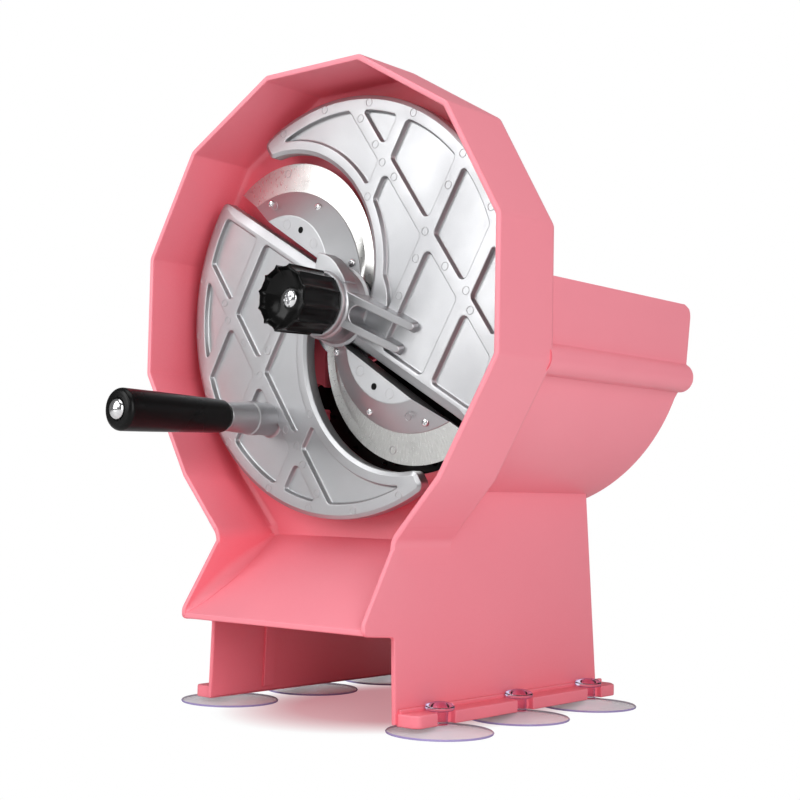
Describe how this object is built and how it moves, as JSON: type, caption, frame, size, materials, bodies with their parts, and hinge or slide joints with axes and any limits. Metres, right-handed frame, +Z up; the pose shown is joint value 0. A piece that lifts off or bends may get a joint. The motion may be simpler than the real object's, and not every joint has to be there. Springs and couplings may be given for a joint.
{
  "type": "hand cranked vegetable slicer",
  "caption": "Bench slicer with a cranked two-wing cutting disc in a twelve sided drum, a feed trough with a spiked pusher, a slice tray and legs on suction cups.",
  "frame": {"origin": "middle of the bounding box on the bench plane", "axes": "+Z up, +Y from the drum's open front to the feed trough, +X to the right seen from the front"},
  "size_m": [0.2811, 0.2982, 0.3814],
  "materials": {
    "pink_plastic": "satin moulded",
    "black_plastic": "smooth moulded",
    "cast_aluminium": "satin cast",
    "blade_steel": "ground",
    "bright_steel": "bright",
    "bronze": "turned",
    "clear_vinyl": "clear and glossy"
  },
  "bodies": {
    "housing": {"drum_housing": "pink_plastic", "discharge_tray": "pink_plastic", "right_leg": "pink_plastic", "left_leg": "pink_plastic", "feed_trough": "pink_plastic", "spindle_bush": "bronze", "suction_cup_right_1": "clear_vinyl", "suction_cup_right_2": "clear_vinyl", "suction_cup_right_3": "clear_vinyl", "suction_cup_left_1": "clear_vinyl", "suction_cup_left_2": "clear_vinyl", "suction_cup_left_3": "clear_vinyl"},
    "pusher": {"pusher": "black_plastic", "pusher_spikes": "black_plastic"},
    "spindle": {"spindle": "bright_steel", "blade_carrier": "cast_aluminium", "upper_blade": "blade_steel", "lower_blade": "blade_steel", "upper_blade_screw_1": "bright_steel", "upper_blade_screw_2": "bright_steel", "upper_blade_screw_3": "bright_steel", "lower_blade_screw_1": "bright_steel", "lower_blade_screw_2": "bright_steel", "lower_blade_screw_3": "bright_steel", "thickness_spring": "bright_steel", "rear_washer": "bright_steel", "rear_nut": "bright_steel"},
    "wings": {"wing_plate": "cast_aluminium", "crank_sleeve": "cast_aluminium", "crank_pin": "bright_steel"},
    "knob": {"thickness_knob": "black_plastic", "knob_screw": "bright_steel"},
    "grip": {"grip": "black_plastic", "grip_screw": "bright_steel"}
  },
  "joints": [
    {"name": "disc_spin", "type": "hinge", "parent": "housing", "child": "spindle", "pos_m": [-0.00057, -0.0571, 0.2413], "axis": [0, 1, 0], "continuous": true},
    {"name": "thickness_slide", "type": "slide", "parent": "spindle", "child": "wings", "axis": [0, -1, 0], "range_m": [-0.0024, 0.0076], "deforming": ["thickness_spring"]},
    {"name": "knob_turn", "type": "hinge", "parent": "wings", "child": "knob", "pos_m": [-0.00057, -0.0571, 0.2413], "axis": [0, -1, 0], "range_deg": [-432.1, 1368.1]},
    {"name": "grip_spin", "type": "hinge", "parent": "wings", "child": "grip", "pos_m": [-0.05907, -0.1021, 0.1749], "axis": [0, 1, 0], "continuous": true},
    {"name": "pusher_slide", "type": "slide", "parent": "housing", "child": "pusher", "axis": [0, 1, 0], "range_m": [0, 0.125]}
  ],
  "couplings": [
    {"joint": "knob_turn", "follows": "thickness_slide", "rad_per_m": 3141.6}
  ]
}
